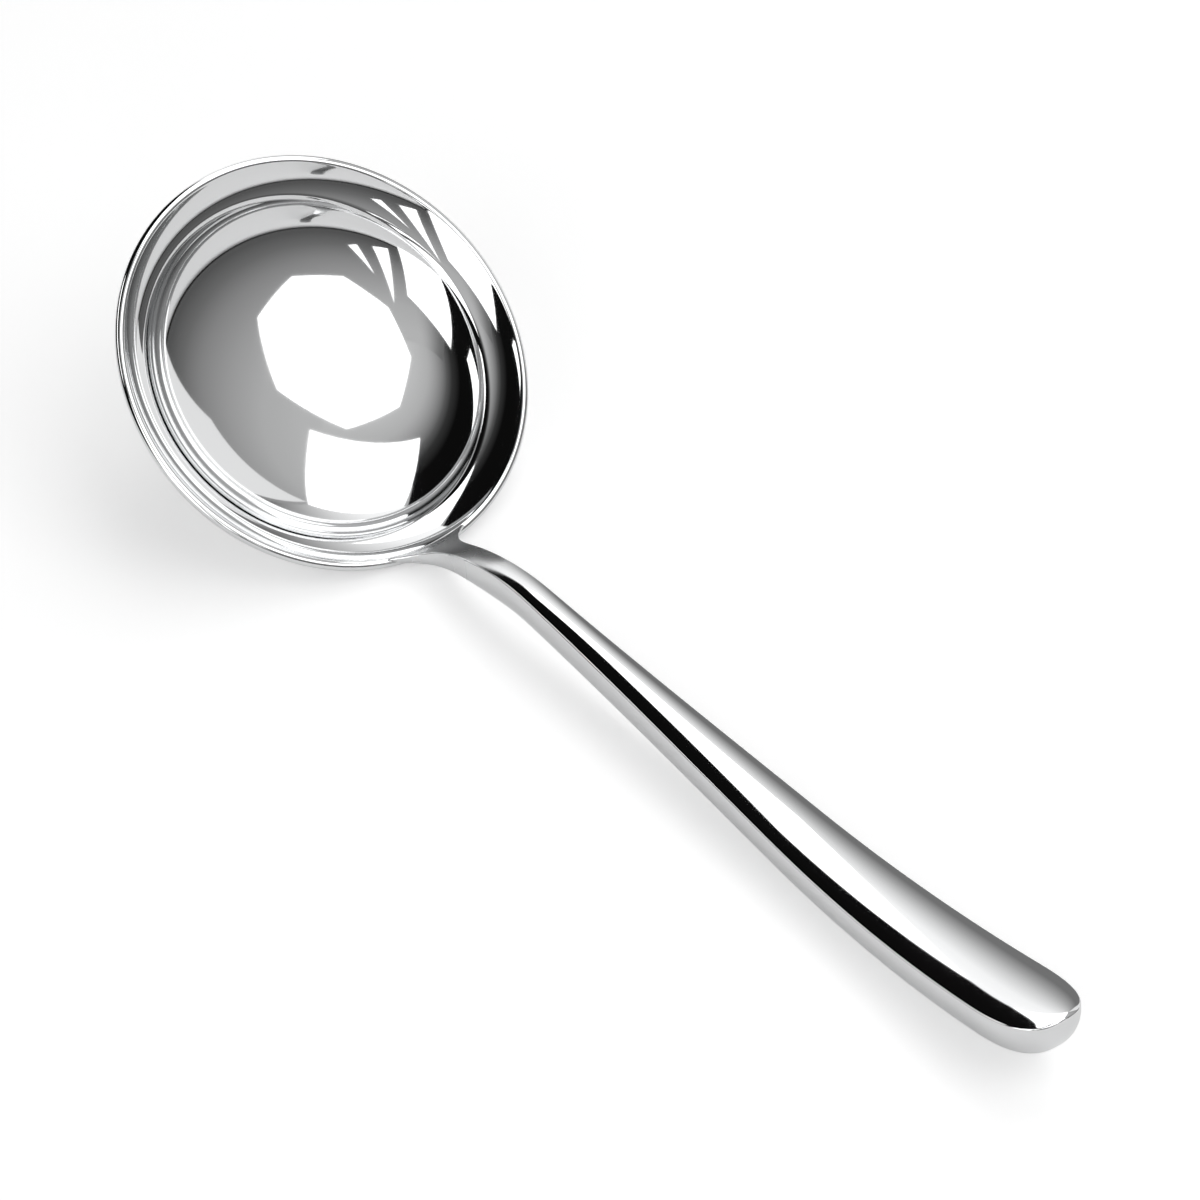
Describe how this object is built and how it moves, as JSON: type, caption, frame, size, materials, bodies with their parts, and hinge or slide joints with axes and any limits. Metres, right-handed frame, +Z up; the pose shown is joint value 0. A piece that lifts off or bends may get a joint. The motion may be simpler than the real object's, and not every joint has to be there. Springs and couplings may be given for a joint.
{
  "type": "soup ladle",
  "caption": "Polished steel soup ladle with a round bowl, a wide flared pouring lip and a curved hollow handle, for serving liquids.",
  "frame": {"origin": "on the table under the middle of the ladle's bounding box, with the ladle lying on the low side of its bowl and on its handle", "axes": "+X from the bowl towards the end of the handle, +Z up from the table, Y across the ladle; Y = 0 is its plane of symmetry"},
  "size_m": [0.2742, 0.095, 0.06],
  "materials": {
    "bowl_steel": "mirror polished stainless steel",
    "handle_steel": "mirror polished stainless steel",
    "cement": "hard grey filler"
  },
  "bodies": {
    "root": {"bowl": "bowl_steel", "root_weld": "handle_steel", "neck": "handle_steel", "grip_upper_shell": "handle_steel", "grip_lower_shell": "handle_steel", "tang_cement": "cement"}
  },
  "joints": []
}
